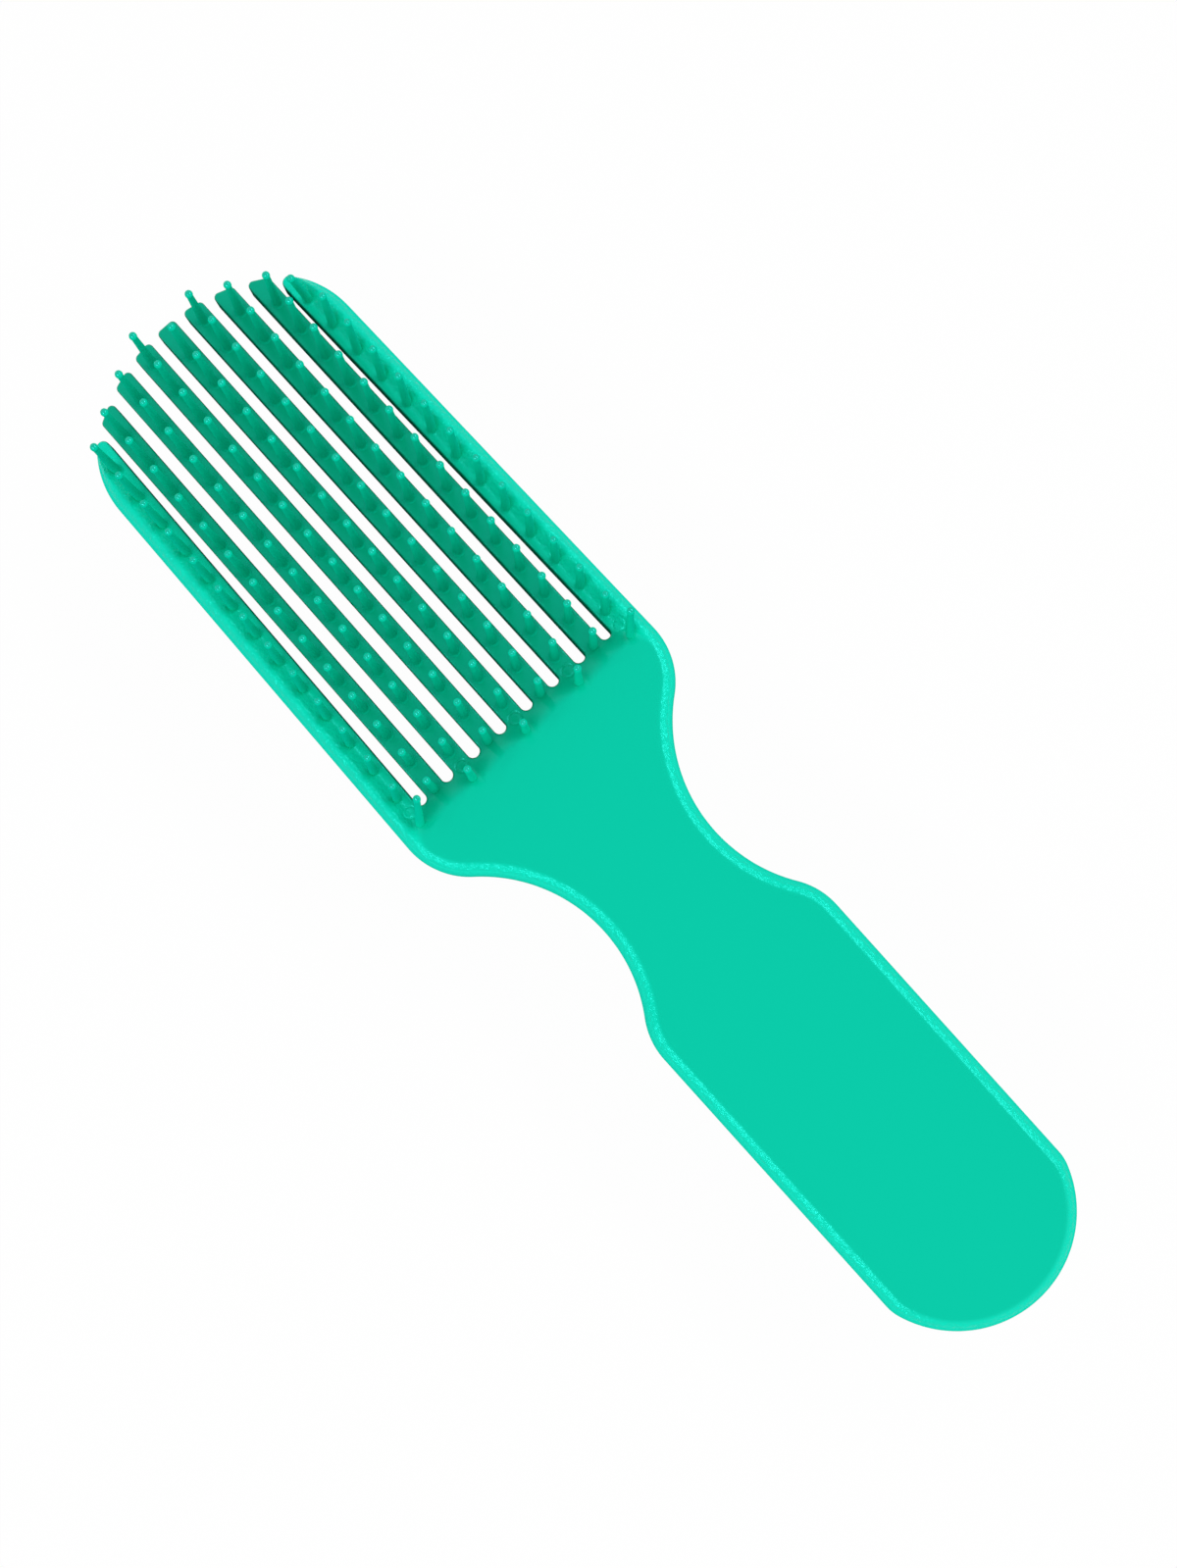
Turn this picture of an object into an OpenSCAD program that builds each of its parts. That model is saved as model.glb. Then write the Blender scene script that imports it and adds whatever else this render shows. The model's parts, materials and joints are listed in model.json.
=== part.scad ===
// Wide detangling comb: a flat paddle handle whose head is split into nine flexible arms,
// each arm carrying a row of round-tipped pins. The rows are staggered by half a pitch.
// The comb lies on its back. +X runs towards the arm tips, +Y towards the left rail,
// and +Z is the way the pins stand. The origin is under the middle of the whole comb.

/* [Overall] */
// Length of the comb from the butt to the middle arm's tip
comb_length = 235; // [220:1:250]
// Thickness of the handle and of the rails' raised rims
handle_thick = 6; // [5.4:0.1:8]
// Radius of the rounding along the upper outer edge
top_edge_r = 2.2; // [1.5:0.1:2.8]
// Radius of the rounding along the lower outer edge
bottom_edge_r = 2; // [1.5:0.1:2.4]

/* [Head outline] */
// Width of the head across the line where the arms bend
head_width = 59; // [57:0.5:64]
// Angle by which each side of the head closes in towards the tips
side_taper = 1.5; // [1:0.1:2]
// Length of the head's straight side behind the bending line
palm_side = 7.3; // [5:0.1:14]
// Radius of the shoulder rounding between the head and the neck
shoulder_r = 14.1; // [11:0.1:16]
// Radius of the crown, the arc on which the arms end
crown_r = 37.5; // [35:0.5:42]
// Radius of the rounding between the crown and the sides
crown_corner_r = 16.8; // [14:0.2:18]

/* [Neck and grip outline] */
// Width of the neck at its narrowest
neck_width = 26.9; // [24:0.1:32]
// Radius of the hollow side of the neck
neck_r = 29.8; // [24:0.2:34]
// Width of the grip
grip_width = 41.7; // [38:0.1:46]
// Radius of the shoulder rounding between the neck and the grip
grip_shoulder_r = 14.1; // [11:0.1:16]
// How far the butt's radius is over half the width of the grip
butt_spread = 0.75; // [0.4:0.05:2]
// Radius of the soft corner between the side of the grip and the butt
butt_corner_r = 8; // [5:0.5:12]

/* [Arms] */
// Length of the middle arm from the bending line to its tip
arm_length = 92.3; // [88:0.1:96]
// Width of an inner arm
arm_width = 4; // [3.6:0.1:4.4]
// Thickness of an inner arm, also the height of the tooth field's floor
arm_thick = 3.8; // [3.5:0.1:4.4]
// Radius along the long edges of an inner arm
arm_edge_r = 0.4; // [0.2:0.1:0.6]
// Length of the soft corner at an inner arm's tip
arm_tip_r = 0.6; // [0.3:0.1:1]
// Angle between neighbouring arms, by which they draw together towards the tips
row_fan = 0.25; // [0.15:0.05:0.3]
// Width of a side rail
rail_width = 6.33; // [6:0.05:6.6]
// Width of the slot beside a side rail at the bending line
rail_slot = 2.12; // [1.9:0.02:2.6]
// Length of the soft corner at the inner end of a side rail
rail_tip_r = 2.4; // [1:0.1:3]

/* [Tooth field] */
// Flat width of the raised rim's crest along the outside of each rail
rim_crest = 0.4; // [0.3:0.05:0.6]
// Width of the soft step from the rim down to the floor
cove_width = 0.8; // [0.6:0.05:1]
// Distance from the bending line back to the ends of the slots
slot_setback = 2.8; // [2.6:0.1:3.6]
// Length of flat floor behind the ends of the slots
slot_land = 0.2; // [0.1:0.05:0.6]
// Length of the slope from the floor up to the lobes of the palm
slope_run = 3.4; // [2:0.1:4]
// How far the palm's edge draws back between its lobes, where the odd rows' first pins stand
lobe_depth = 1.8; // [0.5:0.1:2.4]

/* [Pins] */
// Height of a pin above the floor
pin_height = 13; // [10:0.5:16]
// Distance between pins along a row
pin_pitch = 6.45; // [6:0.05:7.2]
// Diameter of a pin at its foot
pin_foot_d = 1.7; // [1.4:0.05:2]
// Diameter of a pin just under its ball
pin_neck_d = 1.15; // [0.9:0.05:1.3]
// Diameter of the ball at a pin's tip
pin_ball_d = 1.4; // [1.3:0.05:1.6]
// Least flat between a pin's foot and an edge across its row
pin_land = 0.3; // [0.2:0.05:0.5]
// Least distance from a row's last pin to the tip of its arm
pin_tip_margin = 2.5; // [2:0.1:3]
// Gap between a rail pin's foot and the cove beside it
pin_cove_gap = 0.08; // [0.05:0.01:0.15]

/* [Bending roots] */
// Radius of the rounded root that an arm turns on
root_r = 1.5; // [1.3:0.05:1.6]
// Running clearance around the rounded root
root_clear = 0.08; // [0.05:0.01:0.1]
// Width of the groove between an arm and the palm
root_gap = 0.9; // [0.8:0.05:1.1]

/* [Hidden] */

comb_green = [0.01, 0.79, 0.65];
field_green = [0.02, 0.62, 0.48];

// Rows are counted from the left rail, which is row 1, to the right rail, which is row 9.
last_row = 9;
middle_row = (1 + last_row) / 2;
// How far every cut runs past what it cuts
overrun = 1;
// Facets on a pin
pin_facets = 24;
// Facets on the rounded roots
root_facets = 64;
// Steps along each arc of the outline, and around each rounded edge
arc_steps = 14;
edge_steps = 5;
cove_steps = 5;
corner_steps = 3;
// Steps from one row to the next along the palm's lobed edge
lobe_steps = 4;

// Places along the comb
tip_x = comb_length / 2;
flex_x = tip_x - arm_length;
lip_x = flex_x - root_gap;
slot_end_x = flex_x - slot_setback;
floor_end_x = slot_end_x - slot_land;
lobe_end_x = floor_end_x - slope_run;
slope_end_x = lobe_end_x - lobe_depth;
flex_z = arm_thick / 2;
field_depth = handle_thick - arm_thick;
rim_width = top_edge_r + rim_crest;

// Half the width of the head, and the inner edge of a rail, at a place along the comb
function head_half(x) = head_width / 2 - (x - flex_x) * tan(side_taper);
function rail_inner(x) = head_half(x) - rail_width / cos(side_taper);
// The rows share the width between the two rails
row_pitch = (head_width / 2 - rail_width / cos(side_taper) - rail_slot - arm_width / 2) / (middle_row - 2);
// Distance of a row's centre line from the comb's axis
function pitch_at(x) = row_pitch - (x - flex_x) * tan(row_fan);
function row_y(row, x) = (middle_row - row) * pitch_at(x);

// How far a straight side line, moved in by some distance, runs before it meets a circle
side_dir = [cos(side_taper), -sin(side_taper)];
function side_start(inset) = [flex_x, head_width / 2 - inset / cos(side_taper)];
function side_run(inset, centre, r) =
  let (v = side_start(inset) - centre, b = v * side_dir)
  -b + sqrt(b * b - v * v + r * r);

// Centres of the outline's arcs, each tangent to the next
crown_c = [tip_x - crown_r, 0];
corner_c = side_start(crown_corner_r)
  + side_dir * side_run(crown_corner_r, crown_c, crown_r - crown_corner_r);
shoulder_x = flex_x - palm_side;
shoulder_c = [shoulder_x, head_half(shoulder_x) - shoulder_r / cos(side_taper)];
neck_y = neck_width / 2 + neck_r;
neck_c = [shoulder_x - sqrt(pow(shoulder_r + neck_r, 2) - pow(neck_y - shoulder_c.y, 2)), neck_y];
grip_y = grip_width / 2 - grip_shoulder_r;
grip_c = [neck_c.x - sqrt(pow(grip_shoulder_r + neck_r, 2) - pow(neck_y - grip_y, 2)), grip_y];
butt_r = grip_width / 2 + butt_spread;
butt_c = [butt_r - tip_x, 0];
butt_corner_y = grip_width / 2 - butt_corner_r;
butt_corner_c = [
  butt_c.x - sqrt(pow(butt_r - butt_corner_r, 2) - pow(butt_corner_y, 2)),
  butt_corner_y
];

// Directions in which neighbouring arcs touch
shoulder_turn = atan2(neck_c.y - shoulder_c.y, neck_c.x - shoulder_c.x);
neck_turn = atan2(neck_c.y - grip_c.y, neck_c.x - grip_c.x);
butt_turn = atan2(butt_corner_c.y - butt_c.y, butt_corner_c.x - butt_c.x);

function arc(centre, r, from, to, steps = arc_steps) =
  [for (i = [0:steps]) let (a = from + (to - from) * i / steps) centre + r * [cos(a), sin(a)]];

// A corner b between a and c, softened over the given length
function soft_corner(a, b, c, reach) =
  let (p = b + reach * (a - b) / norm(a - b), q = b + reach * (c - b) / norm(c - b))
  [for (i = [0:corner_steps]) let (t = i / corner_steps)
    (1 - t) * (1 - t) * p + 2 * t * (1 - t) * b + t * t * q];

// The handle's left side from the arms to the butt, moved in by some distance
function handle_side(inset) = concat(
  [[lip_x, head_half(lip_x) - inset / cos(side_taper)]],
  arc(shoulder_c, shoulder_r - inset, 90 - side_taper, shoulder_turn),
  arc(neck_c, neck_r + inset, shoulder_turn + 180, neck_turn + 180),
  arc(grip_c, grip_shoulder_r - inset, neck_turn, 90),
  arc(butt_corner_c, butt_corner_r - inset, 90, butt_turn),
  arc(butt_c, butt_r - inset, butt_turn, 180)
);

// Neighbouring arcs share a point, so each point that repeats the one before it is dropped
function no_repeats(points) =
  [for (i = [0:len(points) - 1]) if (i == 0 || norm(points[i] - points[i - 1]) > overrun / 1000) points[i]];

function handle_ring(inset) =
  let (side = no_repeats(handle_side(inset)), n = len(side))
  concat(side, [for (i = [n - 2:-1:0]) [side[i].x, -side[i].y]]);

// A rail seen from above: the inner edge, the soft tip, the crown's corner and the outer edge
function rail_ring(outer_inset, inner_inset, tip_reach) =
  let (
    start_x = flex_x - root_r,
    inner = rail_width - inner_inset,
    r = crown_corner_r - outer_inset,
    tip = side_start(inner) + side_dir * side_run(inner, corner_c, r),
    tip_angle = atan2(tip.y - corner_c.y, tip.x - corner_c.x),
    back = [start_x, head_half(start_x) - inner / cos(side_taper)],
    bend = arc(corner_c, r, tip_angle, 90 - side_taper),
    // The bend starts where the soft tip ends
    reach_angle = tip_reach / r * 180 / PI,
    bend_rest = arc(corner_c, r, tip_angle + reach_angle, 90 - side_taper)
  )
  concat(
    [back],
    tip_reach > 0 ? soft_corner(back, tip, bend[1], tip_reach) : [tip],
    [for (i = [1:len(bend_rest) - 1]) bend_rest[i]],
    [[start_x, head_half(start_x) - outer_inset / cos(side_taper)]]
  );

// A closed skin through rings of equal length, each at its own height. Its two flat ends are
// strips between the two halves of the ring, which mirror or face each other.
module loft(rings, heights) {
  n = len(rings[0]);
  levels = len(rings);
  points = [for (k = [0:levels - 1]) for (p = rings[k]) [p.x, p.y, heights[k]]];
  strips = [for (i = [0:ceil(n / 2) - 2]) let (j = n - 1 - i)
    i + 1 == j - 1 ? [i, i + 1, j] : [i, i + 1, j - 1, j]];
  bottom = strips;
  top = [for (f = strips) [for (i = [len(f) - 1:-1:0]) (levels - 1) * n + f[i]]];
  sides = [
    for (k = [0:levels - 2]) for (i = [0:n - 1])
      let (j = (i + 1) % n, a = k * n + i, b = k * n + j)
      each [[a, a + n, b + n], [a, b + n, b]]
  ];
  polyhedron(points = points, faces = concat(bottom, top, sides), convexity = 6);
}

// Inset and height around the rounded lower and upper edges, from the back to the face
edge_path = concat(
  [for (i = [0:edge_steps]) let (a = 90 * i / edge_steps)
    [bottom_edge_r * (1 - sin(a)), bottom_edge_r * (1 - cos(a))]],
  [for (i = [0:edge_steps]) let (a = 90 * i / edge_steps)
    [top_edge_r * (1 - cos(a)), handle_thick - top_edge_r * (1 - sin(a))]]
);
edge_heights = [for (e = edge_path) e.y];

// The soft step up from the floor: shares of its width and height, level at both ends
cove_shares = [for (i = [0:cove_steps]) let (t = i / cove_steps) [t, (1 - cos(180 * t)) / 2]];
cove_heights = concat(
  [for (s = cove_shares) arm_thick + field_depth * s.y],
  [handle_thick + overrun]
);
cove_runs = concat([for (s = cove_shares) s.x], [1]);

// How far the palm's edge draws back at a distance y from the comb's axis, as a share of the
// lobes' depth: none on the middle of an even row, all of it on an odd one
function lobe_share(y) =
  let (row = middle_row - y / pitch_at(lobe_end_x), even = min(max(2 * round(row / 2), 2), last_row - 1))
  min(1, pow(row - even, 2));

// Distances from the axis at which the lobed edge has a point
lobe_rows = [for (i = [-lobe_steps * (last_row - 1) / 2:lobe_steps * (last_row - 1) / 2])
  -i * pitch_at(lobe_end_x) / lobe_steps];

// The hollow of the tooth field. It is open at the tips, its sides run along the rims, and its
// back climbs to the palm's lobed edge.
module field_hollow() {
  front_x = tip_x + overrun;
  loft(
    [
      for (t = cove_runs)
        let (
          inset = rim_width + cove_width * (1 - t),
          corner_x = floor_end_x - (slope_run + lobe_depth) * t,
          corner_y = head_half(corner_x) - inset,
          front_share = (head_half(front_x) - inset) / corner_y,
          ys = concat([corner_y], lobe_rows, [-corner_y]),
          n = len(ys)
        )
        concat(
          [for (y = ys) [floor_end_x - (slope_run + lobe_depth * lobe_share(y)) * t, y]],
          [for (i = [n - 1:-1:0]) [front_x, ys[i] * front_share]]
        )
    ],
    cove_heights
  );
}

// Inner edges of a row, towards the right (-1) and towards the left (+1)
function row_edge(row, way, x) =
  row == 1 ? rail_inner(x) :
  row == last_row ? -rail_inner(x) :
  row_y(row, x) + way * arm_width / 2;

// The slot between a row and the next one, as far as it cuts into the palm
module palm_slot(row) {
  end_r = (row_edge(row, -1, slot_end_x) - row_edge(row + 1, 1, slot_end_x)) / 2;
  start_x = slot_end_x + end_r;
  front_x = lip_x + overrun;
  left = row_edge(row, -1, start_x);
  right = row_edge(row + 1, 1, start_x);
  translate([0, 0, -overrun]) linear_extrude(handle_thick + 2 * overrun) union() {
    translate([start_x, (left + right) / 2]) circle(r = (left - right) / 2, $fn = root_facets);
    polygon([
      [start_x, right],
      [front_x, row_edge(row + 1, 1, front_x)],
      [front_x, row_edge(row, -1, front_x)],
      [start_x, left]
    ]);
  }
}

// A bar across the whole comb on the bending line
module root_bar(r) {
  translate([flex_x, -head_width, flex_z]) rotate([-90, 0, 0])
    cylinder(h = 2 * head_width, r = r, $fn = root_facets);
}

// What an arm may fill: its rounded root, and everything in front of the bending line
module arm_zone(height) {
  root_bar(root_r);
  translate([flex_x, -head_width, -overrun])
    cube([arm_length + overrun, 2 * head_width, height + 2 * overrun]);
}

module handle() {
  color(comb_green) difference() {
    loft([for (e = edge_path) handle_ring(e.x)], edge_heights);
    field_hollow();
    for (row = [1:last_row - 1]) palm_slot(row);
    root_bar(root_r + root_clear);
  }
}

module rail_blank() {
  intersection() {
    difference() {
      loft([for (e = edge_path) rail_ring(e.x, min(e.x, arm_edge_r), rail_tip_r)], edge_heights);
      field_hollow();
    }
    arm_zone(handle_thick);
  }
}

module left_rail() {
  color(comb_green) rail_blank();
}

module right_rail() {
  color(comb_green) mirror([0, 1, 0]) rail_blank();
}

// Section across an inner arm, with its long edges rounded
module arm_section() {
  w = arm_width / 2 - arm_edge_r;
  t = arm_thick;
  translate([-w, 0]) square([2 * w, t]);
  translate([-arm_width / 2, arm_edge_r]) square([arm_width, t - 2 * arm_edge_r]);
  for (y = [-w, w]) for (z = [arm_edge_r, t - arm_edge_r])
    translate([y, z]) circle(r = arm_edge_r, $fn = pin_facets);
}

// Where the crown crosses a line at some distance from the comb's axis
function crown_x(y) = crown_c.x + sqrt(crown_r * crown_r - y * y);

// An inner arm seen from above, with the crown's slant and soft corners at its tip
module arm_plan(row) {
  start_x = flex_x - root_r;
  tip_y = row_y(row, crown_x(row_y(row, tip_x)));
  y0 = row_y(row, start_x);
  right_tip = [crown_x(tip_y - arm_width / 2), tip_y - arm_width / 2];
  left_tip = [crown_x(tip_y + arm_width / 2), tip_y + arm_width / 2];
  right_root = [start_x, y0 - arm_width / 2];
  left_root = [start_x, y0 + arm_width / 2];
  polygon(concat(
    [right_root],
    soft_corner(right_root, right_tip, left_tip, arm_tip_r),
    [[crown_x(tip_y), tip_y]],
    soft_corner(right_tip, left_tip, left_root, arm_tip_r),
    [left_root]
  ));
}

module arm(row) {
  fan = atan2(row_y(row, tip_x) - row_y(row, flex_x), arm_length);
  color(field_green) intersection() {
    linear_extrude(arm_thick) arm_plan(row);
    translate([flex_x, row_y(row, flex_x), 0]) rotate([0, 0, fan]) translate([-root_r - overrun, 0, 0])
      rotate([90, 0, 90]) linear_extrude(root_r + arm_length + 2 * overrun) arm_section();
    arm_zone(arm_thick);
  }
}

// One pin: a tapered shaft with a ball at its tip
module pin() {
  ball_z = pin_height - pin_ball_d / 2;
  cylinder(h = ball_z, d1 = pin_foot_d, d2 = pin_neck_d, $fn = pin_facets);
  translate([0, 0, ball_z]) sphere(d = pin_ball_d, $fn = pin_facets);
}

// Odd rows, the rails among them, start close in front of the bending line.
// Even rows start behind it, so neighbouring rows are staggered.
function first_pin_x(row) =
  row % 2 == 1
    ? flex_x + pin_foot_d / 2 + pin_land - pin_pitch
    : lip_x - pin_foot_d / 2 - pin_land;
function row_end_x(row) =
  row == 1 || row == last_row
    ? side_tip_x
    : crown_x(row_y(row, tip_x));
rail_tip = side_start(rail_width) + side_dir * side_run(rail_width, corner_c, crown_corner_r);
side_tip_x = rail_tip.x - rail_tip_r / 2;
function pin_count(row) = floor((row_end_x(row) - pin_tip_margin - first_pin_x(row)) / pin_pitch) + 1;

// Rail pins stand beside the cove, the others on their arm's centre line
function rail_pin_y(x) =
  head_half(x) - rim_width - cove_width - pin_cove_gap - pin_foot_d / 2;
function pin_y(row, x) =
  row == 1 ? rail_pin_y(x) :
  row == last_row ? -rail_pin_y(x) :
  row_y(row, x);

module pin_at(row, x) {
  translate([x, pin_y(row, x), arm_thick]) pin();
}

// The pins that stand on an arm: all of a row's pins but the first
module arm_pins(row) {
  color(field_green)
    for (i = [1:pin_count(row) - 1]) pin_at(row, first_pin_x(row) + i * pin_pitch);
}

// The first pin of each row stands on the palm or on its slope
module root_pins() {
  color(field_green) difference() {
    for (row = [1:last_row]) pin_at(row, first_pin_x(row));
    difference() {
      translate([slope_end_x - pin_pitch, -head_width, 0])
        cube([floor_end_x - slope_end_x + pin_pitch, 2 * head_width, handle_thick]);
      field_hollow();
    }
  }
}

handle();
left_rail();
right_rail();
arm(2);  // arm_2
arm(3);  // arm_3
arm(4);  // arm_4
arm(5);  // arm_5
arm(6);  // arm_6
arm(7);  // arm_7
arm(8);  // arm_8
root_pins();
arm_pins(1);  // left_rail_pins
arm_pins(last_row);  // right_rail_pins
arm_pins(2);  // arm_2_pins
arm_pins(3);  // arm_3_pins
arm_pins(4);  // arm_4_pins
arm_pins(5);  // arm_5_pins
arm_pins(6);  // arm_6_pins
arm_pins(7);  // arm_7_pins
arm_pins(8);  // arm_8_pins
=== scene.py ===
"""Looks of the wide detangling comb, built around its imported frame. Lengths here are millimetres."""
import json
import math

import bpy
import numpy as np
from mathutils.geometry import delaunay_2d_cdt
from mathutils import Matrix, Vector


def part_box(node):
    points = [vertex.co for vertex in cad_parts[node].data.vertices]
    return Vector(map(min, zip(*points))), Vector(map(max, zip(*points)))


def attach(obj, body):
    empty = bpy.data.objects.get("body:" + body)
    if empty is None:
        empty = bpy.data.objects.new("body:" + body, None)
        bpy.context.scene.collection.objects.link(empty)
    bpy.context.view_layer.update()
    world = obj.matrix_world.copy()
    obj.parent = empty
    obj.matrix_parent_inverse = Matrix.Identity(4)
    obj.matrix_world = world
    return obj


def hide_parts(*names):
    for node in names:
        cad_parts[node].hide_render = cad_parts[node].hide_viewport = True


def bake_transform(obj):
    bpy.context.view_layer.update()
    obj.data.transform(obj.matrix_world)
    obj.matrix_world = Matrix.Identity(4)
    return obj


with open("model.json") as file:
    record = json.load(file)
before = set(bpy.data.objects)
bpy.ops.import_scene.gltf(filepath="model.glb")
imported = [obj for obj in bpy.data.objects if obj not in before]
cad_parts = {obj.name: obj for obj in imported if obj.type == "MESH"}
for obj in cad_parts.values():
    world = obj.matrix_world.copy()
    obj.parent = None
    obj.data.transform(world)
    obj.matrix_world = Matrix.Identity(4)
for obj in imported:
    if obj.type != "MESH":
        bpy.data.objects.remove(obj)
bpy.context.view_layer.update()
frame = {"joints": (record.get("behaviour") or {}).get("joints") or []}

MM = 0.001
SAME_POINT = 1e-4
LAST_ROW = 9
MIDDLE_ROW = 5
RAILS = {1: "left_rail", LAST_ROW: "right_rail"}

# Sizes that the frame gives
TIP_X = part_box("arm_5")[1].x / MM
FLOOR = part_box("arm_5")[1].z / MM
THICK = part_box("handle")[1].z / MM
SPLIT_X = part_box("handle")[1].x / MM
FLEX_X = frame["joints"][0]["pos_m"][0] / MM

# Outline of the head
HEAD_WIDTH = 59
TAPER = math.radians(1.5)
PALM_SIDE = 7.3
SHOULDER_R = 14.1
CROWN_R = 37.5
CROWN_CORNER_R = 16.8

# Outline of the neck and the grip
NECK_WIDTH = 26.9
NECK_R = 29.8
GRIP_WIDTH = 41.7
GRIP_SHOULDER_R = 14.1
BUTT_SPREAD = 0.75
BUTT_R = GRIP_WIDTH / 2 + BUTT_SPREAD
BUTT_CORNER_R = 8

# Arms and slots
ARM_WIDTH = 4
ARM_TIP_R = 0.9
ROW_FAN = math.radians(0.25)
RAIL_WIDTH = 6.33
RAIL_SLOT = 2.12
RAIL_TIP_R = 1.2
ROW_DRIFT = 0.27
DRIFT_ROWS = 3
DRIFT_TURN = math.radians(0.18)
ROW_PITCH = (HEAD_WIDTH / 2 - RAIL_WIDTH / math.cos(TAPER) - RAIL_SLOT - ARM_WIDTH / 2) / (MIDDLE_ROW - 2)
SLOT_SETBACK = 2.8
SLOT_END_X = FLEX_X - SLOT_SETBACK

# Rounded edges: the broad outer rounding with a faint bevel inside it, and the small one along the slots
BROAD_R = 2.6
PALM_BROAD_R = 3
BROAD_DROP = 2.5
BEVEL_WIDTH = 2.5
BEVEL_SLOPE = math.tan(math.radians(20))
BEVEL_BLEND = 0.04
FACE_BLEND = 0.08
BACK_R = 2
SMALL_R = 0.45
LAND = 0.15
TIP_FADE = 3.5

# Tooth field: the cove down from each rim to the floor, and the slope up to the palm's lobes
COVE_START = 1.8
COVE_WIDTH = 3.2
FLOOR_SHIFT = 1.2
FLOOR_END_X = SLOT_END_X + FLOOR_SHIFT
SLOPE_RUN = 4.9
LOBE_DEPTH = 1.4
SLOPE_TOP_X = FLOOR_END_X - SLOPE_RUN - LOBE_DEPTH
LOBE_SHIFT = 0.22
BLEND_SHARE = 0.25

# Ring marks beside the slots' ends. Their seeds make almost a full turn, so that none falls on the first
MARK_X = 22.9
MARK_R = 1.15
MARK_WIDTH = 0.5
MARK_DEPTH = 0.14
MARK_EDGE_SHIFT = 0.3
MARK_TURN = 2 * math.pi - 0.01

# Pins
PIN_HEIGHT = 13
PIN_PITCH = 6.45
PIN_FOOT_D = 1.7
PIN_NECK_D = 1.15
PIN_BALL_D = 1.42
PIN_LAND = 0.3
PIN_TIP_MARGIN = 2.5
RAIL_PIN_INSET = 4.33
PIN_FLARE = 0.35
PIN_ROOT = 0.4
PIN_SIDES = 20
BALL_STEPS = 9
CAP_STEPS = 3
FOOT_STEPS = 4
SHAFT_SHARES = (0.35, 0.7, 0.9, 1)

# How far the pins' tips stand off their feet, along and across the comb
ROOT_LEANS = {1: (2.1, -3.3), 3: (0, -0.3), 5: (-0.5, 0.1), 7: (0.2, -0.3), LAST_ROW: (1.5, -1.4)}
LEFT_LEAN = 0.2
LEFT_LEAN_AT_PALM = 1.4
RIGHT_END_LEAN = 1.7
END_LEAN = 1.1
END_LEAN_SHARE = 0.5
ARM_LEAN = 0.2

# Fineness of the outline, of the rounded edges and of the sloping surfaces, and limits in their sums
OUTLINE_STEP = 0.7
ARM_STEP = 1.5
EDGE_STEPS = 12
BACK_STEPS = 6
CORNER_STEPS = 8
MARK_RINGS = 7
FINE = 0.2
COARSE = 4
COVE_INSETS = np.arange(BROAD_R + LAND + FINE / 2, COVE_START + COVE_WIDTH + FINE, FINE / 2)
NO_SEEDS = np.zeros((0, 2))
FILL_EPSILON = 1e-7
FAR_OFF = 1e3
CHUNK = 2000
SHARP_ANGLE = math.radians(50)

# Places of a plate's and of the pins' materials, and how far up the rounded edges walls and rims reach
FACE_SKIN, WALL_SKIN, RIM_SKIN = 0, 1, 2
SHAFT_SKIN, CAP_SKIN = 0, 1
WALL_STEPS = 5
RIM_STEPS = 6

# Where the thin edges' painted light (a lighter colour) starts to fade and ends, on the palm and on the
# rails
EDGE_LIGHT_START = 1.7
EDGE_LIGHT_END = 2.7
RAIL_LIGHT_START = 2.8
RAIL_LIGHT_END = 6.2

# How the tooth field's painted shade (a darker colour) fades up the slopes, and how much of it the rails
# have
FIELD_SHADE_POWER = 1.5
RAIL_SHADE_SHARE = 0.2

# Painted light and shade on the pins: how much lighter the shaft is at the top, and where it stands on the
# palm's slope or on a rail
SHAFT_LIGHT = 0.8
GROUND_LIGHT = 0.9
RAIL_GROUND_LIGHT = 0.5


# Outline


def head_half(x):
    """Half the width of the head at a place along the comb."""
    return HEAD_WIDTH / 2 - (x - FLEX_X) * math.tan(TAPER)


def row_drift(row, x):
    """How far a row lies off the comb's symmetry: more from the left to the middle and towards the tips."""
    return (ROW_DRIFT + (x - FLEX_X) * math.tan(DRIFT_TURN)) * min(1, (row - 1) / DRIFT_ROWS)


def rail_width(row):
    """Width of a side rail. The drift of the slots takes a little off the right one."""
    return RAIL_WIDTH - (ROW_DRIFT if row == LAST_ROW else 0)


def rail_inner(x, row):
    """Distance of a rail's inner edge from the comb's axis."""
    return head_half(x) - rail_width(row) / math.cos(TAPER)


def row_y(row, x):
    """Distance of a row's centre line from the comb's axis."""
    return (MIDDLE_ROW - row) * (ROW_PITCH - (x - FLEX_X) * math.tan(ROW_FAN)) - row_drift(row, x)


def side_run(inset, centre, r):
    """How far the head's straight side, moved in by inset, runs before it meets a circle."""
    vx = FLEX_X - centre[0]
    vy = HEAD_WIDTH / 2 - inset / math.cos(TAPER) - centre[1]
    b = vx * math.cos(TAPER) - vy * math.sin(TAPER)
    return -b + math.sqrt(b * b - vx * vx - vy * vy + r * r)


def side_point(inset, run):
    """The point that far along the straight side, moved in by inset."""
    return (FLEX_X + run * math.cos(TAPER),
            HEAD_WIDTH / 2 - inset / math.cos(TAPER) - run * math.sin(TAPER))


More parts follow.
